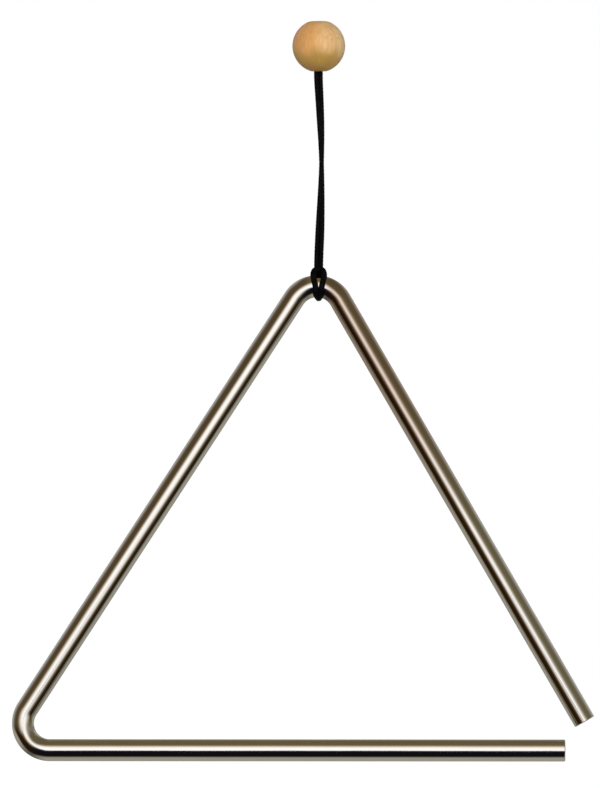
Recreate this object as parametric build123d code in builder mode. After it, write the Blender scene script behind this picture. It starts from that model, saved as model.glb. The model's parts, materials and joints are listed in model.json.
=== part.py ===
"""Triangle instrument: a bent round steel rod that hangs by a looped cord from a drilled wooden ball.

Millimetres and degrees. The origin is the centre of the ball, +Z is up and the triangle hangs in the XZ
plane, with the arch of its hitch on the -Y side.
"""
import os
from math import cos, radians, sin, sqrt, tan

from build123d import *

os.makedirs("parts", exist_ok=True)

# Rod: one bar, bent twice. The left leg is measured on the centreline between sharp corners, and the two cut
# ends are set back from the third corner, which stays open. Leans are from vertical
rod_radius = 4.0
left_leg_length = 209.9
left_lean = 33.05
right_lean = 30.1
base_setback = 13.0
leg_setback = 12.0
apex_bend_radius = 9.7
corner_bend_radius = 9.65
end_chamfer = 0.25

# Cord: one length, doubled, with both its ends knotted inside the ball
cord_radius = 0.85
strand_half_gap = 0.225
hang_drop = 82.5
hang_offset = -0.73
straight_lead = 7.0
upper_share = 0.29
lower_share = 0.65
bend_run_share = 0.45

# Girth hitch round the top of the rod. Spreads are half the distance between its two legs
hitch_clearance = 0.36
hitch_lead = 4.9
front_spread = 1.45
shoulder_spread = 2.05
shoulder_angle = 42.0
bight_rise = 2.0
bight_forward = 1.3

# Ball: turned bead with a through bore for the two strands and a recess for the knot
ball_radius = 9.5
bore_clearance = 0.18
bore_flare = 0.8
recess_radius = 2.7
recess_depth = 8.0
recess_ease = 0.25

# Knot that stops the two cord ends at the bottom of the recess
knot_clearance = 0.2
knot_length = 5.6
knot_rounding = 1.1
sway_room = 1.5

# Steps along a path, and diameters skipped along it, when a gap is measured. Then how near two directions are
# to count as one
path_samples = 600
clear_diameters = 2
same_way = 1e-9

strand_offset = cord_radius + strand_half_gap
bore_radius = strand_offset + cord_radius + bore_clearance
mouth_radius = bore_radius + bore_flare
mouth_z = -sqrt(ball_radius**2 - mouth_radius**2)
knot_seat_z = ball_radius - recess_depth


def on_bar(start, length, lean):
    """Point at a distance from start along a bar, in X and Z. The lean is from straight down, towards +X."""
    return (start[0] + length * sin(radians(lean)), start[1] - length * cos(radians(lean)))


# Corners of the rod's centreline. The top of the apex bend lies under the cord, where the bar is level
bend_top_z = -hang_drop - rod_radius
half_apex = (left_lean + right_lean) / 2
apex_tilt = (left_lean - right_lean) / 2
bend_centre = (hang_offset, bend_top_z - apex_bend_radius)
apex = on_bar(bend_centre, -apex_bend_radius / sin(radians(half_apex)), -apex_tilt)
left_corner = on_bar(apex, left_leg_length, -left_lean)
open_corner = on_bar(apex, (apex[1] - left_corner[1]) / cos(radians(right_lean)), right_lean)
base_end = (open_corner[0] - base_setback, open_corner[1])
right_end = on_bar(open_corner, -leg_setback, right_lean)

with BuildPart() as triangle_rod:
    with BuildLine(Plane.XZ) as rod_line:
        FilletPolyline(base_end, left_corner, apex, right_end, radius=[corner_bend_radius, apex_bend_radius])
    with BuildSketch(Plane(origin=rod_line.line @ 0, z_dir=rod_line.line % 0)):
        Circle(rod_radius)
    sweep()
    cut_ends = triangle_rod.faces().filter_by(GeomType.PLANE)
    chamfer(cut_ends.edges(), end_chamfer)

# Ball with its bore, the recess above it and an eased edge at each mouth
with BuildPart() as wooden_ball:
    Sphere(ball_radius)
    with Locations((0, 0, ball_radius)):
        CounterBoreHole(bore_radius, recess_radius, recess_depth)
    mouths = wooden_ball.edges().filter_by(GeomType.CIRCLE).sort_by(Axis.Z)
    chamfer(mouths[0], bore_flare)
    chamfer(mouths[-1], recess_ease)

# Knot on the floor of the recess, with the two cord ends that come up to it through the bore
with BuildPart() as stopper_knot:
    with BuildSketch(Plane.XY.offset(knot_seat_z)):
        Circle(recess_radius - knot_clearance)
    extrude(amount=knot_length)
    fillet(stopper_knot.edges().sort_by(Axis.Z)[-1], knot_rounding)
    with BuildSketch(Plane.XY.offset(mouth_z + sway_room)):
        with GridLocations(2 * strand_offset, 0, 2, 1):
            Circle(cord_radius)
    extrude(until=Until.NEXT)


def tube_radii(route):
    """Radius of each bend of a cord's route: as large as the shorter of its two runs allows."""
    points = [Vector(*point) for point in route]
    radii = []
    for before, corner, after in zip(points, points[1:], points[2:]):
        half_turn = radians((corner - before).get_angle(after - corner)) / 2
        shorter_run = min((corner - before).length, (after - corner).length)
        radii.append(bend_run_share * shorter_run / tan(half_turn))
    return radii


# Free stretches from the ball's mouth to the hitch. The strand on the left at the ball crosses in front of
# the other at mid height, so the pair makes half a turn on its way down
hitch_top_z = bend_top_z + rod_radius + hitch_lead
upper_z = mouth_z - upper_share * (mouth_z - hitch_top_z)
lower_z = mouth_z - lower_share * (mouth_z - hitch_top_z)
front_route = [
    (-strand_offset, 0, mouth_z),
    (-strand_offset, 0, mouth_z - straight_lead),
    (-0.35, -strand_offset, upper_z),
    (1.15, -strand_offset, lower_z),
    (hang_offset + strand_offset, 0, hitch_top_z + straight_lead),
    (hang_offset + strand_offset, 0, hitch_top_z),
]
back_route = [
    (strand_offset, 0, mouth_z),
    (strand_offset, 0, mouth_z - straight_lead),
    (1.2, strand_offset, upper_z),
    (0.1, strand_offset, lower_z),
    (hang_offset - strand_offset, 0, hitch_top_z + straight_lead),
    (hang_offset - strand_offset, 0, hitch_top_z),
]

with BuildPart() as front_strand:
    with BuildLine() as front_line:
        FilletPolyline(*front_route, radius=tube_radii(front_route))
    with BuildSketch(Plane(origin=front_line.line @ 0, z_dir=front_line.line % 0)):
        Circle(cord_radius)
    sweep()

with BuildPart() as back_strand:
    with BuildLine() as back_line:
        FilletPolyline(*back_route, radius=tube_radii(back_route))
    with BuildSketch(Plane(origin=back_line.line @ 0, z_dir=back_line.line % 0)):
        Circle(cord_radius)
    sweep()


def on_loop(angle, spread):
    """Place and direction on the loop round the rod. The angle is from the top, growing towards the back."""
    loop_radius = rod_radius + hitch_clearance + cord_radius
    across, up = sin(radians(angle)), cos(radians(angle))
    place = Vector(hang_offset + spread, loop_radius * across, bend_top_z + loop_radius * up)
    return place, Vector(0, up, -across)


def biarc(start, start_way, end, end_way):
    """Two arcs that leave start and reach end in the given directions and meet smoothly on the way."""
    span = end - start
    bend = 2 * (1 - start_way.dot(end_way))
    along = span.dot(start_way + end_way)
    if bend < same_way:
        reach = span.dot(span) / (4 * span.dot(end_way))
    else:
        reach = (sqrt(along**2 + bend * span.dot(span)) - along) / bend
    first, last = start + start_way * reach, end - end_way * reach
    meeting = (first + last) / 2
    TangentArc(start, meeting, tangent=start_way)
    TangentArc(meeting, end, tangent=last - first)


# Right half of the hitch, from the front strand's end: down behind the rod, under it and up its front to the
# shoulder of the arch. The left half is its mirror image, run the other way
right_half = [
    (Vector(hang_offset + strand_offset, 0, hitch_top_z), Vector(0, 0, -1)),
    on_loop(90, strand_offset),
    on_loop(180, strand_offset),
    on_loop(270, front_spread),
    on_loop(360 - shoulder_angle, shoulder_spread),
]
arch_top = Vector(hang_offset, -bight_forward, bend_top_z + rod_radius + bight_rise)
left_half = [
    (Vector(2 * hang_offset - place.X, place.Y, place.Z), Vector(way.X, -way.Y, -way.Z))
    for place, way in reversed(right_half)
]
hitch_stations = right_half + [(arch_top, Vector(-1, 0, 0))] + left_half

with BuildPart() as girth_hitch:
    with BuildLine() as hitch_line:
        for (start, start_way), (end, end_way) in zip(hitch_stations, hitch_stations[1:]):
            biarc(start, start_way, end, end_way)
    with BuildSketch(Plane(origin=hitch_line.line @ 0, z_dir=hitch_line.line % 0)):
        Circle(cord_radius)
    sweep()


def least_gap(line, other):
    """Least clear distance between two cords, or between places on one cord that lie well apart along it."""
    ours = [line @ (step / path_samples) for step in range(path_samples + 1)]
    theirs = [other @ (step / path_samples) for step in range(path_samples + 1)]
    apart = clear_diameters * 2 * cord_radius / line.length * path_samples if line is other else 0
    distances = [
        (a - b).length
        for i, a in enumerate(ours)
        for j, b in enumerate(theirs)
        if line is not other or j - i > apart
    ]
    return min(distances) - 2 * cord_radius


front_path, back_path, hitch_path = front_line.wire(), back_line.wire(), hitch_line.wire()
for name, path, route in (("front", front_path, front_route), ("back", back_path, back_route)):
    print(name, "strand bend radii", [round(radius, 1) for radius in tube_radii(route)])
    print(name, "strand length", round(path.length, 2))
print("hitch length", round(hitch_path.length, 2))
print("hitch least gap to itself", round(least_gap(hitch_path, hitch_path), 3))
print("strands least gap", round(least_gap(front_path, back_path), 3))

triangle_rod.part.label = "triangle_rod"
wooden_ball.part.label = "wooden_ball"
stopper_knot.part.label = "stopper_knot"
front_strand.part.label = "front_strand"
back_strand.part.label = "back_strand"
girth_hitch.part.label = "girth_hitch"
for piece in (triangle_rod, wooden_ball, stopper_knot, front_strand, back_strand, girth_hitch):
    export_step(piece.part, f"parts/{piece.part.label}.step")
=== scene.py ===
"""Looks of the hanging triangle: a bright steel rod, a turned beech ball and the black cord between them.

Metres and radians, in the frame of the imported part: the origin is the centre of the ball, +Z is up and the
triangle hangs in the XZ plane, with the arch of its hitch on the -Y side.
"""
import json
from math import asin, cos, pi, radians, sin, sqrt, tan

import bpy
import numpy as np
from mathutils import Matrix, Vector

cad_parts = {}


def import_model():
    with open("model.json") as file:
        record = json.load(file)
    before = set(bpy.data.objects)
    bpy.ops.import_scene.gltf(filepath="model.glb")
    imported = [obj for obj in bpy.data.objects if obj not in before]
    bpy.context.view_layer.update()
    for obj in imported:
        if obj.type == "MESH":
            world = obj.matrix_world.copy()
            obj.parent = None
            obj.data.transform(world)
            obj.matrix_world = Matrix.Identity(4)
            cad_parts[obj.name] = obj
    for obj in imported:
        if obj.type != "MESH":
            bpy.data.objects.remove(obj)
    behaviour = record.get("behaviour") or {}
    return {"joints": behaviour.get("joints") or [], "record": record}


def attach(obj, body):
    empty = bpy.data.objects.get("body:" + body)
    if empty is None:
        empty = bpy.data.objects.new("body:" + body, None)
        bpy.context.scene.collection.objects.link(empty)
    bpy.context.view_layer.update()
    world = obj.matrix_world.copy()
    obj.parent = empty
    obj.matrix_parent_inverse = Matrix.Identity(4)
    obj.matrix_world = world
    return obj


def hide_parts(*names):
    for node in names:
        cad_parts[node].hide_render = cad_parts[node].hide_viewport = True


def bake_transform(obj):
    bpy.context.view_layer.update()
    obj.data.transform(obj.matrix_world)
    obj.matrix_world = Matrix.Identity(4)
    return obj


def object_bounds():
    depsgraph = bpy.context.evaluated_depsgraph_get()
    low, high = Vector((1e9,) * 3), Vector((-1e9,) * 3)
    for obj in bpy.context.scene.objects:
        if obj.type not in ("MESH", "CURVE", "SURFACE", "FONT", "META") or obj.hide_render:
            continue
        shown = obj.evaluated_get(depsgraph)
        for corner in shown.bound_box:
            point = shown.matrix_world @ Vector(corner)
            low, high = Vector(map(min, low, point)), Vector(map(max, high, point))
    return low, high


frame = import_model()
cad_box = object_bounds()

joint_at = {joint["name"]: np.array(joint["pos_m"]) for joint in frame["joints"]}
mounts = {mount["name"]: mount for mount in frame["record"]["mounts"]}
mouth = joint_at["cord_sway"]
hitch_top = joint_at["cord_twist"]
bend_top = joint_at["triangle_swing"]

millimetre = 0.001

# Photograph: its size in pixels, the size of a pixel on the object and the pixel at the ball's centre
photo_width, photo_height = 600, 788
pixel = 0.36 * millimetre
ball_column, ball_row = 318.8, 46.05
camera_distance = 8.0
sensor_side = 36.0

# Rod: one bar, bent at the lower left and at the apex. The lean is from vertical
rod_radius = mounts["base_bar"]["dims"]["r_mm"] * millimetre
left_lean = radians(33.05)
apex_bend_radius = 9.7 * millimetre
corner_bend_radius = 9.65 * millimetre
end_chamfer = 0.25 * millimetre
base_rise = 0.15 * millimetre
run_rings, bend_rings = 24, 48
rod_around = 72

# Rings of a cut end, as shares of its flat face's radius and of its chamfer's width. The last is on the bar
end_face_rings = np.array([0.5, 0.9, 0.98])
chamfer_rings = np.array([0.0, 0.1, 0.5, 0.9, 1.0])
bar_ring = 1.15

# Rougher steel on the rod, with painted shade dimming and warming it, between these places in X and in Z
dimmed_from_x, dimmed_to_x = 0.5 * millimetre, 5 * millimetre
dimmed_from_z, dimmed_to_z = -190 * millimetre, -115 * millimetre

# Ball: turned bead with a bore for the two strands and a recess for the knot
ball_radius = 9.5 * millimetre
bore_radius = 2.1 * millimetre
mouth_radius = sqrt(ball_radius**2 - mouth[2] ** 2)
bore_edge_rise = 0.75 * millimetre
recess_radius = 2.7 * millimetre
recess_ease = 0.25 * millimetre
lip_radius, lip_depth = 1.95 * millimetre, 1.4 * millimetre
shoulder_radius = 4.4 * millimetre
rim_slope = 0.12
recess_floor_z = 1.5 * millimetre
corner_ease = 0.1 * millimetre
ball_rings, ball_around = 90, 160
wall_rings, corner_rings, edge_rings, shoulder_rings = 10, 4, 14, 16

# Cord: one length, doubled. Its two strands touch all the way down
cord_radius = 0.85 * millimetre
half_pair = 0.83 * millimetre
bore_turn = radians(26.0)
braid_depth = 0.06
braid_yarns = 6
braid_period = 1.3 * millimetre
yarn_crossing = 3
cord_around = 48
cord_step = 0.12 * millimetre
route_steps = 64
cut_rounding, cut_fall = 0.15 * millimetre, 0.8

# Knot: above the bore each end leads outwards, makes one turn round the other and comes up beside it
bore_low, bore_high = -4.0 * millimetre, 0.4 * millimetre
lead_radius, lead_turn = 1.45 * millimetre, pi / 6
coil_radius = 1.78 * millimetre
coil_points = 8
coil_lift = 0.41 * millimetre
coil_low, coil_high, cut_z = 2.45 * millimetre, 6.4 * millimetre, 8.1 * millimetre
knot_turn = 2.25 * pi

# Hitch: its middle hangs a little to the right of the bend's top. The cord is pressed flatter where it lies
# on the rod, wider on its front and narrower beneath
hitch_middle_x = bend_top[0] + 0.68 * millimetre
hitch_gap = 0.04 * millimetre
hitch_sides = 8
hitch_flatness = 0.24
flat_from, flat_to = rod_radius + cord_radius, rod_radius + 2.5 * cord_radius
hitch_widening = 0.26
wide_from, wide_to = 0.4 * rod_radius, 0.9 * rod_radius
hitch_narrowing = 0.22
narrow_from, narrow_to = 0.7 * rod_radius, 1.1 * rod_radius

# Where the cord is divided: inside the bore, under the ball's mouth and at the top of the hitch
bore_cut_z = mouth[2] + 2.0 * millimetre
mouth_cut_z = mouth[2] - 3.2 * millimetre

scene = bpy.context.scene


def smooth(value, low, high):
    """Rises from 0 at low to 1 at high along 3 t^2 - 2 t^3."""
    t = np.clip((value - low) / (high - low), 0, 1)
    return t * t * (3 - 2 * t)


def faded(share, first, second):
    """Goes from first to second as the share goes from 0 to 1."""
    return first + share * (second - first)


class Level:
    """Output socket that carries a number, a colour or a shader. Arithmetic on a number adds Math nodes."""

    def __init__(self, finish, socket):
        self.finish = finish
        self.socket = socket

    def maths(self, operation, first, second):
        return self.finish.node("Math", {0: first, 1: second}, operation=operation)

    def __add__(self, other):
        return self.maths("ADD", self, other)

    def __radd__(self, other):
        return self.maths("ADD", other, self)

    def __sub__(self, other):
        return self.maths("SUBTRACT", self, other)

    def __rsub__(self, other):
        return self.maths("SUBTRACT", other, self)

    def __mul__(self, other):
        return self.maths("MULTIPLY", self, other)

    def __rmul__(self, other):
        return self.maths("MULTIPLY", other, self)


class Finish:
    """Node tree of a material or of the world."""

    # Sockets of a Mix node in its colour mode, where each name is there more than once
    mix_factor, mix_first, mix_second, mix_result = 0, 6, 7, 2

    def __init__(self, owner):
        owner.use_nodes = True
        self.owner = owner
        self.tree = owner.node_tree
        self.tree.nodes.clear()

    def node(self, kind, sockets, output=0, **settings):
        """Adds a node. Its settings come first, then values or links for its sockets."""
        node = self.tree.nodes.new("ShaderNode" + kind)
        for setting, value in settings.items():
            setattr(node, setting, value)
        for socket, value in sockets.items():
            if isinstance(value, Level):
                self.tree.links.new(value.socket, node.inputs[socket])
            else:
                node.inputs[socket].default_value = value
        return Level(self, node.outputs[output]) if node.outputs else None

    def noise(self, place, per_metre, detail=2.0, distortion=0.0):
        """Cloudy values round a half, with so many patches to the metre along each axis."""
        stretched = self.node("VectorMath", {0: place, 1: per_metre}, operation="MULTIPLY")
        sockets = {"Vector": stretched, "Scale": 1.0, "Detail": detail, "Distortion": distortion}
        return self.node("TexNoise", sockets)

    def eased(self, value, low, high):
        """Rises smoothly from 0 at low to 1 at high."""
        sockets = {"Value": value, "From Min": low, "From Max": high}
        return self.node("MapRange", sockets, interpolation_type="SMOOTHSTEP")

    def mixed(self, factor, first, second):
        """Colour that goes from first to second as the factor goes from 0 to 1."""
        sockets = {self.mix_factor: factor, self.mix_first: first, self.mix_second: second}
        return self.node("Mix", sockets, self.mix_result, data_type="RGBA")

    def bump(self, height, depth, strength):
        return self.node("Bump", {"Strength": strength, "Distance": depth, "Height": height})

    def surface(self, **sockets):
        """Principled surface. Socket names are given with underscores for spaces."""
        named = {name.replace("_", " "): value for name, value in sockets.items()}
        shader = self.node("BsdfPrincipled", named)
        self.node("OutputMaterial", {"Surface": shader})
        return self.owner


def new_finish(name):
    return Finish(bpy.data.materials.new(name))


def skin(name, material, grid, tips=(), **traits):
    """Mesh of a grid of points, closed round its second axis.

    Two tips close the ends with fans of triangles. With none, the last ring joins the first. The bake map
    runs along the rings in one direction and round them in the other. Traits are vectors kept on the
    points.
    """
    rings, around = grid.shape[:2]
    points = grid.reshape(-1, 3)
    index = np.arange(rings * around).reshape(rings, around)
    travel = np.linalg.norm(np.diff(grid, axis=0, append=grid[:1]), axis=2).mean(axis=1)
    if len(tips):
        tip_share = 0.02
        points = np.vstack([points, tips])
        run = np.concatenate([[0.0], np.cumsum(travel[:-1])])
        along = tip_share + (1 - 2 * tip_share) * run / run[-1]
    else:
        index = np.vstack([index, index[:1]])
        run = np.concatenate([[0.0], np.cumsum(travel)])
        along = run / run[-1]
    here, there = index[:-1], index[1:]
    quads = np.stack([here, there, np.roll(there, -1, axis=1), np.roll(here, -1, axis=1)], axis=-1)
    step = np.arange(around)
    before, after = along[:-1, None], along[1:, None]
    u = np.broadcast_to(np.stack([before, after, after, before], axis=-1), quads.shape)
    v = np.broadcast_to(np.stack([step, step, step + 1, step + 1], axis=-1) / around, quads.shape)
    corners, sizes = [quads.ravel()], [np.full(quads.size // 4, 4)]
    maps = [np.stack([u.ravel(), v.ravel()], axis=-1)]
    if len(tips):
        first_tip = rings * around
        following = np.roll(step, -1)
        for fan, edge, u_tip, u_edge in (
            ((first_tip, index[0], index[0][following]), (0.5, 0, 1), 0.0, along[0]),
            ((first_tip + 1, index[-1][following], index[-1]), (0.5, 1, 0), 1.0, along[-1]),
        ):
            corners.append(np.stack(np.broadcast_arrays(*fan), axis=-1).ravel())
            sizes.append(np.full(around, 3))
            v_fan = (step[:, None] + np.array(edge)) / around
            u_fan = np.broadcast_to([u_tip, u_edge, u_edge], v_fan.shape)
            maps.append(np.stack([u_fan.ravel(), v_fan.ravel()], axis=-1))
    corners, sizes, maps = np.concatenate(corners), np.concatenate(sizes), np.concatenate(maps)

    mesh = bpy.data.meshes.new(name)
    mesh.vertices.add(len(points))
    mesh.vertices.foreach_set("co", points.ravel())
    mesh.loops.add(len(corners))
    mesh.loops.foreach_set("vertex_index", corners)
    mesh.polygons.add(len(sizes))
    mesh.polygons.foreach_set("loop_start", np.cumsum(sizes) - sizes)
    mesh.polygons.foreach_set("use_smooth", np.ones(len(sizes), dtype=bool))
    mesh.uv_layers.new(name="OFBake").uv.foreach_set("vector", maps.ravel())
    for trait, values in traits.items():
        ends = [values[0].mean(axis=0), values[-1].mean(axis=0)] if len(tips) else np.empty((0, 3))
        kept = np.vstack([values.reshape(-1, 3), ends])
        mesh.attributes.new(trait, "FLOAT_VECTOR", "POINT").data.foreach_set("vector", kept.ravel())
    mesh.update(calc_edges=True)
    mesh.materials.append(material)
    piece = bpy.data.objects.new(name, mesh)
    scene.collection.objects.link(piece)
    return piece


def polished_steel():
    """Plated and buffed bar: long streaks from drawing, a little haze and fine scratches.

    From the apex to the middle of the right leg it is rougher, with painted shade that dims and warms it.
    """
    bright, warm, dimmed_tone = (0.76, 0.74, 0.70, 1), (0.70, 0.675, 0.63, 1), (0.57, 0.465, 0.395, 1)
    streak_patches, haze_patches, scratch_patches = (30, 1800, 1800), (120, 160, 160), (900, 260, 260)
    scratch_from, scratch_to = 0.66, 0.74
    buffed, streak_rough, haze_rough, scratch_rough, dull_rough = 0.055, 0.03, 0.03, 0.05, 0.03
    relief, relief_strength = 0.2 * millimetre, 0.05
    finish = new_finish("polished_steel")
    place = finish.node("Attribute", {}, "Vector", attribute_name="along_bar")
    body = finish.node("TexCoord", {}, "Object")
    right_side = finish.eased(finish.node("SeparateXYZ", {"Vector": body}, "X"), dimmed_from_x, dimmed_to_x)
    high_up = finish.eased(finish.node("SeparateXYZ", {"Vector": body}, "Z"), dimmed_from_z, dimmed_to_z)
    # Rougher here, and painted shade: a darker, warmer steel colour that dims the reflections
    rough_and_dimmed = right_side * high_up
    streak = finish.noise(place, streak_patches, detail=3)
    haze = finish.noise(place, haze_patches, detail=3)
    scratch = finish.noise(place, scratch_patches, detail=4, distortion=1.5)
    scratched = finish.eased(scratch, scratch_from, scratch_to)
    rough = buffed + streak_rough * streak + haze_rough * haze
    return finish.surface(
        Base_Color=finish.mixed(rough_and_dimmed, finish.mixed(haze, warm, bright), dimmed_tone),
        Metallic=1.0,
        Roughness=rough + scratch_rough * scratched + dull_rough * rough_and_dimmed,
        Normal=finish.bump(streak + 0.5 * haze, relief, relief_strength),
    )


def beech():
    """Turned beech under thin lacquer, with its grain upright.

    It is ruddy on one side, honey and then straw on the other, and olive below, where painted shade
    darkens it, with fine dark and pale fibres, most of all on the honey side. Beside the mouth of the bore
    are a browner, handled patch and, as painted shade, a little umber everywhere but on the right.
    """
    ruddy, honey, olive = (0.63, 0.31, 0.09, 1), (0.70, 0.43, 0.18, 1), (0.41, 0.235, 0.032, 1)
    dark, pale, brown = (0.46, 0.225, 0.07, 1), (0.80, 0.49, 0.29, 1), (0.48, 0.19, 0.05, 1)
    straw, umber = (0.76, 0.56, 0.25, 1), (0.20, 0.10, 0.01, 1)
    straw_share, brown_share, umber_shade_share = 0.7, 0.4, 0.3
    ring_share, pore_share, fibre_share, honey_fibre_share = 0.20, 0.30, 0.30, 0.45
    honey_clears_olive, olive_hides_pale = 0.25, 0.75
    cloud_patches, ring_patches = (130, 130, 90), (420, 420, 25)
    fibre_patches, pore_patches = (2100, 2100, 60), (5200, 5200, 300)
    cloud_reach = 0.9 * ball_radius
    relief, relief_strength = 0.2 * millimetre, 0.1
    finish = new_finish("beech")

    def on_ball(value, start, full):
        """Rises from 0 to 1 between two places, given as shares of the ball's radius."""
        return finish.eased(value, start * ball_radius, full * ball_radius)

    place = finish.node("TexCoord", {}, "Object")
    cloud = (finish.noise(place, cloud_patches) - 0.5) * cloud_reach
    across = finish.node("SeparateXYZ", {"Vector": place}, "X") + cloud
    height = finish.node("SeparateXYZ", {"Vector": place}, "Z") + cloud
    tone = finish.mixed(on_ball(across, -0.45, 0.35), ruddy, honey)
    tone = finish.mixed(straw_share * on_ball(across, 0.55, 0.95), tone, straw)
    # Partly olive wood tone, partly painted shade: darker towards the bottom
    below = on_ball(height, 0.05, -0.60) * (1 - honey_clears_olive * on_ball(across, 0.2, 0.8))
    tone = finish.mixed(below, tone, olive)
    ring = finish.noise(place, ring_patches)
    fibre = finish.noise(place, fibre_patches, detail=3)
    pore = finish.noise(place, pore_patches, detail=2)
    streaky = fibre_share + honey_fibre_share * on_ball(across, 0, 0.8) * (1 - below)
    tone = finish.mixed(ring_share * finish.eased(ring, 0.45, 0.70), tone, dark)
    tone = finish.mixed(streaky * finish.eased(fibre, 0.50, 0.70), tone, dark)
    paler = (1 - olive_hides_pale * below) * streaky
    tone = finish.mixed(paler * finish.eased(fibre, 0.48, 0.32), tone, pale)
    tone = finish.mixed(pore_share * finish.eased(pore, 0.58, 0.75), tone, dark)
    handled = on_ball(height, -0.62, -0.85) * on_ball(across, 0.05, -0.25)
    tone = finish.mixed(brown_share * handled, tone, brown)
    # Painted shade: umber darkens the bottom, everywhere but on the right
    shaded_foot = on_ball(height, -0.55, -0.95) * on_ball(across, 0.45, 0.05)
    tone = finish.mixed(umber_shade_share * shaded_foot, tone, umber)
    return finish.surface(
        Base_Color=tone,
        Roughness=0.42 + 0.15 * fibre,
        Normal=finish.bump(0.6 * fibre - 0.4 * pore, relief, relief_strength),
        Specular_IOR_Level=0.6,
        Coat_Weight=0.35,
        Coat_Roughness=0.35,
    )


def black_cord():
    """Waxed black braid: a little paler where it is worn, with fine fibres along it."""
    deep, worn = (0.0010, 0.0010, 0.0011, 1), (0.0040, 0.0039, 0.0038, 1)
    wear_patches, fibre_patches = (500, 500, 500), (2600, 9000, 9000)
    worn_from, worn_to = 0.15, 0.45
    relief, relief_strength = 0.06 * millimetre, 0.25
    finish = new_finish("black_cord")
    place = finish.node("Attribute", {}, "Vector", attribute_name="along_cord")
    wear = finish.noise(place, wear_patches, detail=3)
    fibre = finish.noise(place, fibre_patches)
    return finish.surface(
        Base_Color=finish.mixed(finish.eased(wear * fibre, worn_from, worn_to), deep, worn),
        Roughness=0.45 + 0.2 * wear,
        Normal=finish.bump(fibre, relief, relief_strength),
        Specular_IOR_Level=0.09,
    )


def flat(point):
    """X and Z of a point as one complex number, in which a turn is a product."""
    return point[0] + 1j * point[2]


def rod_line():
    """Centreline of the rod and its direction, in X and Z, from the base's cut end to the right leg's.

    At a bend of radius r the run stops r tan(turn / 2) short of the corner, and an arc takes over about the
    point that lies r to the side: centre + (start - centre) e^(i turn t), with t from 0 to 1. The base rises
    a little to the left, where it meets the left leg.
    """
    base, leg = mounts["base_bar"], mounts["right_leg"]
    base_half, leg_half = (mount["dims"]["length_mm"] * millimetre / 2 for mount in (base, leg))
    leg_way = flat(leg["axis"])
    half_apex = (left_lean + np.angle(leg_way * 1j)) / 2
    base_end = flat(base["pos_m"]) + base_half + end_chamfer
    left_corner = flat(base["pos_m"]) - base_half - corner_bend_radius / tan((pi / 2 - left_lean) / 2)
    left_corner += base_rise * (1j + tan(left_lean))
    apex = flat(leg["pos_m"]) - leg_way * (leg_half + apex_bend_radius / tan(half_apex))
    right_end = flat(leg["pos_m"]) + leg_way * (leg_half + end_chamfer)

    corners = [base_end, left_corner, apex, right_end]
    radii = [corner_bend_radius, apex_bend_radius]
    share = np.linspace(0, 1, bend_rings)
    run_share = np.linspace(0, 1, run_rings)[:-1]
    places, ways, run_start = [], [], base_end
    for before, corner, after, radius in zip(corners, corners[1:], corners[2:], radii):
        way = (corner - before) / abs(corner - before)
        turn = np.angle((after - corner) / way)
        arc_start = corner - way * radius * tan(abs(turn) / 2)
        centre = arc_start + 1j * way * radius * np.sign(turn)
        arc = centre + (arc_start - centre) * np.exp(1j * turn * share)
        places += [run_start + (arc_start - run_start) * run_share, arc[:-1]]
        ways += [np.full(len(run_share), way), way * np.exp(1j * turn * share[:-1])]
        run_start = arc[-1]
    places += [run_start + (right_end - run_start) * run_share, [right_end]]
    ways += [np.full(run_rings, leg_way)]
    return np.concatenate(places), np.concatenate(ways)


def cut_end():
    """Radius of a cut end's rings, from its middle outwards, and their distance from the end.

    The end is flat, with a chamfer of width e: the bar's radius falls short by e (1 - t) at a distance of
    e t, with t from 0 to 1. Rings close to the chamfer's two sides keep them crisp, and the last one lies on
    the bar.
    """
    face = end_face_rings * (rod_radius - end_chamfer)
    radius = np.r_[face, rod_radius - end_chamfer * (1 - chamfer_rings), rod_radius]
    return radius, end_chamfer * np.r_[np.zeros(len(face)), chamfer_rings, bar_ring]


def rod():
    """Round bar carried along its centreline: place + radius (side cos a + depth sin a)."""
    places, ways = rod_line()
    end_radius, inset = cut_end()
    tips = np.array([[tip.real, 0, tip.imag] for tip in places[[0, -1]]])
    radius = np.r_[end_radius, np.full(len(places) - 2, rod_radius), end_radius[::-1]][:, None]
    places = np.r_[places[0] + ways[0] * inset, places[1:-1], places[-1] - ways[-1] * inset[::-1]]
    ways = np.r_[np.full(len(inset), ways[0]), ways[1:-1], np.full(len(inset), ways[-1])]

    angle = np.linspace(0, 2 * pi, rod_around, endpoint=False)
    outward, depth = radius * np.cos(angle), radius * np.sin(angle)
    in_plane = places[:, None] + outward * 1j * ways[:, None]
    grid = np.stack([in_plane.real, depth, in_plane.imag], axis=-1)
    run = np.r_[0, np.cumsum(np.abs(np.diff(places)))][:, None]
    spread = np.stack(np.broadcast_arrays(run, outward, depth), axis=-1)
    piece = skin("rod", polished_steel(), grid, tips, along_bar=spread)
    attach(piece, "triangle")
    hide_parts("triangle_rod")


def bow(start, knee, end, rings=wall_rings):
    """Parabola (1 - t)^2 start + 2 t (1 - t) knee + t^2 end, with t from 0 to 1, without its last point.

    It leaves the start and reaches the end along the lines to the knee.
    """
    t = np.linspace(0, 1, rings, endpoint=False)[:, None]
    return (1 - t) ** 2 * np.array(start) + 2 * t * (1 - t) * np.array(knee) + t**2 * np.array(end)


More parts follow.
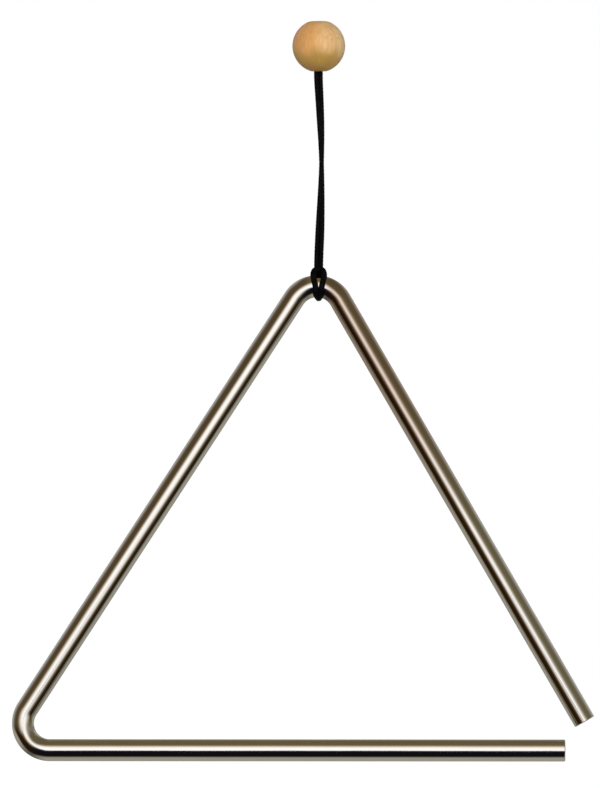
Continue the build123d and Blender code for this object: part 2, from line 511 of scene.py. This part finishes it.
def ball():
    """Closed outline turned about Z: (radius cos a, radius sin a, height).

    The outline runs down the recess and its floor, down the bore, round the worn edge of the mouth, up the
    sphere, over its flattened shoulder and the eased rim, and under the lip that narrows the recess. A
    parabola's knee is where the two lines that it joins would meet.
    """
    mouth_turn = asin(mouth_radius / ball_radius)
    shoulder_turn = asin(shoulder_radius / ball_radius)
    shoulder_z, shoulder_slope = ball_radius * cos(shoulder_turn), tan(shoulder_turn)
    rim_radius = lip_radius + recess_ease
    rim_knee_z = cad_box[1][2]
    rim_z = rim_knee_z - rim_slope * recess_ease
    lip_z = rim_z - 2 * recess_ease
    wall_z = rim_z - lip_depth
    shoulder_foot = shoulder_z + shoulder_slope * shoulder_radius
    rim_foot = rim_z + rim_slope * rim_radius
    knee_radius = (shoulder_foot - rim_foot) / (shoulder_slope - rim_slope)
    knee_z = rim_foot - rim_slope * knee_radius
    sphere = np.linspace(mouth_turn, pi - shoulder_turn, ball_rings, endpoint=False)
    mouth_knee_z = mouth[2] - (mouth_radius - bore_radius) * tan(mouth_turn)
    floor_z, ease = recess_floor_z, corner_ease
    wall_foot, floor_edge = (recess_radius, floor_z + ease), (recess_radius - ease, floor_z)
    floor_lip, bore_top = (bore_radius + ease, floor_z), (bore_radius, floor_z - ease)
    bore_foot = (bore_radius, mouth[2] + bore_edge_rise)
    outline = [
        bow((recess_radius, wall_z), (recess_radius, wall_z / 2), wall_foot),
        bow(wall_foot, (recess_radius, floor_z), floor_edge, corner_rings),
        bow(floor_edge, ((recess_radius + bore_radius) / 2, floor_z), floor_lip, corner_rings),
        bow(floor_lip, (bore_radius, floor_z), bore_top, corner_rings),
        bow(bore_top, (bore_radius, 0), bore_foot),
        bow(bore_foot, (bore_radius, mouth_knee_z), (mouth_radius, mouth[2]), edge_rings),
        ball_radius * np.stack([np.sin(sphere), -np.cos(sphere)], axis=-1),
        bow((shoulder_radius, shoulder_z), (knee_radius, knee_z), (rim_radius, rim_z), shoulder_rings),
        bow((rim_radius, rim_z), (lip_radius, rim_knee_z), (lip_radius, lip_z)),
        bow((lip_radius, lip_z), (lip_radius, wall_z), (recess_radius, wall_z)),
    ]
    radius, height = np.concatenate(outline)[::-1, :, None].transpose(1, 0, 2)
    angle = np.linspace(0, 2 * pi, ball_around, endpoint=False)
    grid = np.stack(np.broadcast_arrays(radius * np.cos(angle), radius * np.sin(angle), height), axis=-1)
    piece = skin("ball", beech(), grid)
    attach(piece, "handle")
    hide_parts("wooden_ball")


def knotted_end(side):
    """Route of one cord end from the bore up: once round the other end, then up beside it.

    A place is given by its radius, its turn about Z and its height. Side is 1 or -1.
    """
    start = bore_turn if side > 0 else bore_turn + pi
    route = [(half_pair, start, z) for z in (bore_low, bore_high)]
    route += [(lead_radius, start + lead_turn, coil_low)]
    for step in range(1, coil_points + 1):
        route += [(coil_radius, start + 2 * pi * step / coil_points, coil_low + coil_lift * step)]
    route += [(half_pair, start + knot_turn, z) for z in (coil_high, cut_z)]
    return [(radius * cos(turn), radius * sin(turn), z) for radius, turn, z in route]


def hitch_half(side):
    """Route of half the girth hitch: from its strand down behind the rod, under it and up to the arch.

    Round the rod, a place is given by its spread to the side in millimetres and its angle from the top
    towards the back, on an eight-sided ring whose sides just clear the rod. Side is 1 for the right half.
    """
    ring = (rod_radius + (1 - hitch_flatness) * cord_radius + hitch_gap) / cos(pi / hitch_sides)
    around = [(0.78, 45), (0.72, 90), (0.45, 135), (0.08, 180), (1.06, 225), (1.01, 270), (2.10, 315)]
    above = np.array([(0.78, 0.1, 9.4), (0.78, 0.45, 6.1)]) * millimetre
    arch = np.array([(1.82, -1.55, 6.3)]) * millimetre
    spread, angle = np.array(around).T * [[millimetre], [radians(1)]]
    wrapped = np.stack([spread, ring * np.sin(angle), ring * np.cos(angle)], axis=-1)
    middle = np.array([hitch_middle_x, 0, bend_top[2]])
    return list(middle + np.vstack([above, wrapped, arch]) * [side, 1, 1])


# Strands from the ball's mouth to the hitch. The left one at the ball crosses in front at mid height
front_route = np.array([
    (-0.98, -0.42, -10.6),
    (-0.39, -0.55, -18.9),
    (0.15, -0.68, -27.5),
    (0.78, -0.86, -36.2),
    (1.14, -0.86, -46.5),
    (1.27, -0.66, -57.0),
    (1.20, -0.30, -67.0),
]) * millimetre
back_route = np.array([
    (0.53, 0.42, -10.6),
    (0.90, 0.55, -18.9),
    (1.18, 0.68, -27.5),
    (1.16, 0.86, -36.2),
    (0.86, 0.86, -46.5),
    (0.22, 0.66, -57.0),
    (-0.42, 0.30, -67.0),
]) * millimetre


def smooth_line(route):
    """Even points on the NURBS spline of order 3 that the route controls, and how far along it they are."""
    curve = bpy.data.curves.new("route", "CURVE")
    curve.dimensions = "3D"
    curve.resolution_u = route_steps
    spline = curve.splines.new("NURBS")
    spline.points.add(len(route) - 1)
    spline.points.foreach_set("co", np.c_[route, np.ones(len(route))].ravel())
    spline.order_u = 3
    spline.use_endpoint_u = True
    holder = bpy.data.objects.new("route", curve)
    mesh = bpy.data.meshes.new_from_object(holder)
    points = np.empty(3 * len(mesh.vertices))
    mesh.vertices.foreach_get("co", points)
    points = points.reshape(-1, 3)
    bpy.data.objects.remove(holder)
    bpy.data.curves.remove(curve)
    bpy.data.meshes.remove(mesh)
    run = np.r_[0, np.cumsum(np.linalg.norm(np.diff(points, axis=0), axis=1))]
    steps = np.linspace(0, run[-1], round(run[-1] / cord_step))
    return np.stack([np.interp(steps, run, axis) for axis in points.T], axis=-1), steps


def carried_across(line, ways):
    """Two directions across a line at each of its points, carried along it without turning about it.

    Each step mirrors the last direction in the plane between two points and then in the plane between the
    mirrored way and the next way.
    """
    across = np.cross(ways[0], (0.0, 1.0, 0.0))
    sides = [across / np.linalg.norm(across)]
    for here, there, way, next_way in zip(line, line[1:], ways, ways[1:]):
        jump = there - here
        side = sides[-1] - 2 * jump * (jump @ sides[-1]) / (jump @ jump)
        mirrored = way - 2 * jump * (jump @ way) / (jump @ jump)
        swing = next_way - mirrored
        sides.append(side - 2 * swing * (swing @ side) / (swing @ swing))
    sides = np.array(sides)
    return sides, np.cross(ways, sides)


def pressed_on_rod(line, offset):
    """Offsets of the hitch's points, flattened towards the rod's axis.

    Along the rod they are widened in front and narrowed beneath.
    """
    from_axis = (line - bend_top) * [0, 1, 1]
    distance = np.linalg.norm(from_axis, axis=1)
    outward = (from_axis / distance[:, None])[:, None]
    lying = 1 - smooth(distance, flat_from, flat_to)
    in_front = smooth(-line[:, 1], wide_from, wide_to)
    beneath = smooth(bend_top[2] - line[:, 2], narrow_from, narrow_to)
    thickness = (offset * outward).sum(axis=-1, keepdims=True)
    offset = offset - hitch_flatness * lying[:, None, None] * thickness * outward
    offset[..., 0] *= (1 + hitch_widening * in_front - hitch_narrowing * beneath)[:, None]
    return offset


def braid(run, sides, others):
    """Offsets of the braid's points from its line, and their places along and across it.

    A point is offset by radius (side cos a + other side sin a). Yarns wind both ways, at angles k a + q s and
    k a - q s. Where cos(k a) is positive the first kind lies on top, and elsewhere the second. The radius
    falls by the braid's depth between the yarns' crowns, and a little more at the two cut ends.
    """
    angle = np.linspace(0, 2 * pi, cord_around, endpoint=False)
    round_phase, run_phase = braid_yarns * angle, 2 * pi * run[:, None] / braid_period
    on_top = 0.5 + 0.5 * np.tanh(yarn_crossing * np.cos(round_phase))
    crown = on_top * np.cos(round_phase + run_phase) + (1 - on_top) * np.cos(round_phase - run_phase)
    radius = cord_radius * (1 + braid_depth / 2 * crown)
    from_end = np.minimum(run, run[-1] - run)
    radius *= np.sqrt(1 - np.clip(1 - from_end / cut_rounding, 0, cut_fall) ** 2)[:, None]
    across = radius * np.cos(angle), radius * np.sin(angle)
    offset = across[0][..., None] * sides[:, None] + across[1][..., None] * others[:, None]
    spread = np.stack(np.broadcast_arrays(run[:, None], *across), axis=-1)
    return offset, spread


def cord():
    """One braided cord from knotted end to knotted end, divided at the joints.

    A point is its place on the line plus its offset. In the hitch the two halves press flat against the plane
    between them.
    """
    route = knotted_end(-1)[::-1] + list(front_route) + hitch_half(1)
    route += hitch_half(-1)[::-1] + list(back_route[::-1]) + knotted_end(1)
    line, run = smooth_line(np.array(route))
    ways = np.gradient(line, run, axis=0)
    ways /= np.linalg.norm(ways, axis=1)[:, None]
    offset, spread = braid(run, *carried_across(line, ways))

    middle = len(line) // 2
    down, up = line[:middle, 2], line[middle:, 2]
    free_from, free_to = np.argmax(down < bore_cut_z), middle + np.argmax(up > bore_cut_z)
    mouth_from, mouth_to = np.argmax(down < mouth_cut_z), middle + np.argmax(up > mouth_cut_z)
    hitch_from, hitch_to = np.argmax(down < hitch_top[2]), middle + np.argmax(up > hitch_top[2])
    in_hitch = slice(hitch_from, hitch_to + 1)
    offset[in_hitch] = pressed_on_rod(line[in_hitch], offset[in_hitch])
    grid = line[:, None] + offset
    side = np.where(np.arange(hitch_from, hitch_to + 1) < middle, 1, -1)[:, None]
    from_middle = side * (grid[in_hitch, :, 0] - hitch_middle_x)
    grid[in_hitch, :, 0] = hitch_middle_x + side * np.maximum(from_middle, 0)
    finish = black_cord()

    def length_of_cord(name, first, last):
        rows = slice(first, last + 1)
        piece = skin(name, finish, grid[rows], line[[first, last]], along_cord=spread[rows])
        return piece

    front_end = length_of_cord("front_cord_end", 0, free_from)
    back_end = length_of_cord("back_cord_end", free_to, len(line) - 1)
    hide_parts("stopper_knot")
    for end in (front_end, back_end):
        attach(end, "handle")

    hitch = length_of_cord("hitch", hitch_from, hitch_to)
    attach(hitch, "hitch")
    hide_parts("girth_hitch")

    for name, node, end, first, cut, last in (
        ("front", "front_strand", front_end, free_from, mouth_from, hitch_from),
        ("back", "back_strand", back_end, free_to, mouth_to, hitch_to),
    ):
        neck = length_of_cord(name + "_neck", *sorted((first, cut)))
        low, high = sorted((cut, last))
        strand = length_of_cord(name + "_length", low, high)
        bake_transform(neck)
        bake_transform(strand)
        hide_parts(node)
        line[low:high + 1]


# Studio: a soft box above the lens, a smaller one behind, even fill and a pale floor
white, paper_tone = (1, 1, 1, 1), (0.86, 0.86, 0.86, 1)
floor_drop = 45 * millimetre
floor_half = 4.0
floor_glow_near, floor_glow_far = 0.43, 0.75
floor_glow_from, floor_glow_to = 0.42, 2.32
lamp_distance = 1.6
key_across, key_up = radians(2), radians(24)
key_half_width, key_half_height = radians(22), radians(24)
key_radiance = 4.6
back_up, back_half = radians(8), radians(10)
back_radiance = 10.0
fill = 0.3

# Room that the steel mirrors, as light in red, green and blue. The upper part is olive, the lower part black
tent_radius = 3.5
tent_rings, tent_around = 180, 180
upper_right, upper_left = np.array([0.154, 0.133, 0.071]), np.array([0.100, 0.068, 0.032])
upper_middle = np.array([0.165, 0.130, 0.066])
lower_right, lower_left = np.array([0.022, 0.016, 0.006]), np.array([0.027, 0.012, 0.0015])
lower_middle = np.array([0.007, 0.006, 0.008])
far_low, far_high = np.array([0.42, 0.405, 0.345]), np.array([1.0, 1.0, 1.0])
side_glow = np.array([0.26, 0.225, 0.20])
back_cloth = np.array([0.050, 0.042, 0.028])
back_card_radiance = 1.2

# Edges of the room's left, middle, top and bottom, as the cosine or the sine of the roll from the right
left_edge, middle_from, overhead_from = 0.85, 0.93, 0.55
beneath_from, lower_to, horizon_from = 0.6, 0.5, -0.35

# Polar angles from the camera's side, in degrees, at which the room's light changes. Above, it turns white,
# with shifts overhead and at the shoulder. Below, it turns grey, with shifts in the lower half, beneath and
# in the murk
white_from, white_to, white_from_shifts = 79, 192, (37, -26)
grey_from, grey_from_shifts = 98, (-27, -8, 10)
grey_to, grey_to_shifts = 132, (-38, -6, 14)
glow_from, glow_to = 28, 45
cloth_from, cloth_drop, cloth_fade = 141, 4, 10
back_card_from, back_card_to = 156, 166

# Rolls from the right, in degrees, at which the pale shoulder, the murk and the side's glow lie
shoulder_roll, shoulder_width = 124, 12
murk_left_roll, murk_right_roll, murk_width = 237, 302, 16
murk_right_share, murk_depth = 0.6, 0.7
glow_roll, glow_width = 12, 9

# White card in that room: how far it reaches from the camera's side, by its roll from the right, in degrees.
# It is short below, where the stand is dark, and at its upper right. Red reaches further than blue, but not
# at the stand
card_reach_at = {
    0: 29, 10: 23, 20: 20, 30: 14.5, 45: 12, 60: 17, 75: 30, 90: 38.5, 115: 25, 130: 22, 148: 22.5,
    152: 29, 157: 32, 165: 34, 180: 33, 197: 25, 207: 13, 213: 14, 220: 15, 228: 14.5, 237: 9.5, 247: 4.5,
    270: 1.6, 287: 5, 297: 11, 305: 16, 315: 21.5, 327: 21.8, 340: 39, 350: 37,
}
card_sharpness_at = {
    30: 1.6, 60: 2.2, 90: 4.3, 120: 2.8, 180: 2.8, 207: 1.7, 222: 2.3, 245: 1.6, 270: 1.1, 327: 2.5,
}
card_fringe, stand_fringe = np.array([1.04, 1.0, 0.96]), np.array([-0.4, 0.0, 0.8])
card_radiance = 1.42


def camera():
    """Camera at the photograph's place, level and square to the triangle."""
    data = bpy.data.cameras.new("camera")
    data.sensor_width = sensor_side
    data.lens = sensor_side * camera_distance / (photo_height * pixel)
    holder = bpy.data.objects.new("camera", data)
    across = (photo_width / 2 - ball_column) * pixel
    up = (ball_row - photo_height / 2) * pixel
    holder.location = (across, -camera_distance, up)
    holder.rotation_euler = (pi / 2, 0, 0)
    scene.collection.objects.link(holder)
    scene.camera = holder


def world():
    """White behind the object, and even soft fill on it."""
    room = bpy.data.worlds.new("room")
    finish = Finish(room)
    camera_ray, glossy_ray, transmission_ray = (
        finish.node("LightPath", {}, ray) for ray in ("Is Camera Ray", "Is Glossy Ray", "Is Transmission Ray")
    )
    seen = camera_ray + glossy_ray + transmission_ray
    light = finish.node("Background", {"Color": white, "Strength": fill + (1 - fill) * seen})
    finish.node("OutputWorld", {"Surface": light})
    scene.world = room


def soft_box(name, side, across, up, half_width, half_height, radiance):
    """Area lamp that faces the object. Side is -1 in front of it and 1 behind it."""
    lamp = bpy.data.lights.new(name, "AREA")
    lamp.shape = "RECTANGLE"
    lamp.size = 2 * lamp_distance * tan(half_width)
    lamp.size_y = 2 * lamp_distance * tan(half_height)
    lamp.energy = radiance * pi * lamp.size * lamp.size_y
    holder = bpy.data.objects.new(name, lamp)
    height = (cad_box[0][2] + cad_box[1][2]) / 2 + lamp_distance * tan(up)
    holder.location = (lamp_distance * tan(across), side * lamp_distance, height)
    holder.rotation_euler = (pi / 2 - up, 0, 0 if side < 0 else pi)
    holder.visible_camera = False
    holder.visible_glossy = False
    scene.collection.objects.link(holder)


def lamps():
    """Large soft box in front of the object, above the lens, and a smaller one low behind it."""
    soft_box("key", -1, key_across, key_up, key_half_width, key_half_height, key_radiance)
    soft_box("back", 1, 0, back_up, back_half, back_half, back_radiance)


def floor():
    """Pale sheet that keeps the object's shadow.

    To the camera it glows, least where the lamps light it most.
    """
    finish = new_finish("paper")
    camera_ray = finish.node("LightPath", {}, "Is Camera Ray")
    place = finish.node("TexCoord", {}, "Object")
    distance = finish.node("VectorMath", {0: place}, "Value", operation="LENGTH")
    away = finish.eased(distance, floor_glow_from, floor_glow_to)
    strength = floor_glow_near + (floor_glow_far - floor_glow_near) * away
    paper = finish.node("BsdfDiffuse", {"Color": paper_tone})
    glow = finish.node("Emission", {"Color": white, "Strength": strength * camera_ray})
    both = finish.node("AddShader", {0: paper, 1: glow})
    finish.node("OutputMaterial", {"Surface": both})
    mesh = bpy.data.meshes.new("floor")
    low = cad_box[0][2] - floor_drop
    corners = [(x * floor_half, y * floor_half, low) for x, y in ((-1, -1), (1, -1), (1, 1), (-1, 1))]
    mesh.from_pydata(corners, [], [(0, 1, 2, 3)])
    mesh.materials.append(finish.owner)
    sheet = bpy.data.objects.new("floor", mesh)
    sheet.visible_glossy = False
    scene.collection.objects.link(sheet)


def bell(value, middle, width):
    """Falls off from 1 at the middle, as e^-((value - middle) / width)^2."""
    return np.exp(-(((value - middle) / width) ** 2))


def shifted(start, shifts, shares):
    """Start moved by each shift times its share."""
    return sum((shift * share for shift, share in zip(shifts, shares)), start)


def tent_light(polar, roll):
    """Light from each direction of the room, by its polar angle from the camera's side and its roll round it.

    Above, olive fades to white behind the object, soonest at the left shoulder. Below, black fades to grey,
    and murk holds it back on both sides of the stand. A warm grey patch stands on the right, and a dark cloth
    and a white card far behind. The light of the card in front falls by half at its reach, as
    2^-(polar / reach)^sharpness.
    """
    degrees, turn = np.degrees(polar)[..., None], np.degrees(roll)[..., None]
    right, up = np.cos(roll)[..., None], np.sin(roll)[..., None]
    leftness = smooth(-right, -left_edge, left_edge)
    straight_up, overhead = smooth(up, middle_from, 1.0), smooth(up, overhead_from, 1.0)
    beneath, lower_half = smooth(-up, beneath_from, 1.0), smooth(-up, 0.0, lower_to)

    olive = faded(straight_up, faded(leftness, upper_right, upper_left), upper_middle)
    shoulder = bell(turn, shoulder_roll, shoulder_width)
    fade_from = shifted(white_from, white_from_shifts, (overhead, shoulder))
    high = faded(smooth(degrees, fade_from, white_to), olive, far_high)

    black = faded(beneath, faded(leftness, lower_right, lower_left), lower_middle)
    murk = bell(turn, murk_left_roll, murk_width) + murk_right_share * bell(turn, murk_right_roll, murk_width)
    shares = lower_half, beneath, murk
    fade_from = shifted(grey_from, grey_from_shifts, shares)
    fade_to = shifted(grey_to, grey_to_shifts, shares)
    low = faded(smooth(degrees, fade_from, fade_to), black, far_low * (1 - murk_depth * murk))

    light = faded(smooth(up, horizon_from, 0.0), low, high)
    glow = bell(np.degrees(np.arctan2(up, right)), glow_roll, glow_width)
    light = faded(glow * smooth(degrees, glow_from, glow_to), light, side_glow)
    cloth_edge = cloth_from + cloth_drop * lower_half
    light = faded(smooth(degrees, cloth_edge, cloth_edge + cloth_fade), light, back_cloth)
    light = faded(smooth(degrees, back_card_from, back_card_to), light, back_card_radiance)

    reach = np.interp(np.degrees(roll), *zip(*card_reach_at.items()), period=360)[..., None]
    reach = reach * card_fringe + beneath * stand_fringe
    sharpness = np.interp(np.degrees(roll), *zip(*card_sharpness_at.items()), period=360)[..., None]
    card = 0.5 ** ((degrees / reach) ** sharpness)
    return faded(card, light, card_radiance)


def tent():
    """Sphere round the object that only shiny surfaces see, with the room's light kept on its points.

    A point is centre + radius (direction), by its polar angle and its roll.
    """
    half_step = 90 / tent_rings
    polar = np.radians(np.linspace(half_step, 180 - half_step, tent_rings))[:, None]
    roll = np.linspace(0, 2 * pi, tent_around, endpoint=False)[None]
    way = np.broadcast_arrays(np.sin(polar) * np.cos(roll), -np.cos(polar), np.sin(polar) * np.sin(roll))
    centre = np.array([0, 0, (cad_box[0][2] + cad_box[1][2]) / 2])
    tips = centre + np.array([(0, -tent_radius, 0), (0, tent_radius, 0)])
    finish = new_finish("tent")
    tone = finish.node("Attribute", {}, "Color", attribute_name="tone")
    glow = finish.node("Emission", {"Color": tone})
    finish.node("OutputMaterial", {"Surface": glow})
    grid = centre + tent_radius * np.stack(way, axis=-1)
    shell = skin("tent", finish.owner, grid, tips, tone=tent_light(polar, roll))
    shell.visible_camera = False
    shell.visible_diffuse = False
    shell.visible_shadow = False
    shell.visible_transmission = False


scene.view_settings.view_transform = "Standard"
camera()
cord()
rod()
ball()
world()
lamps()
floor()
tent()
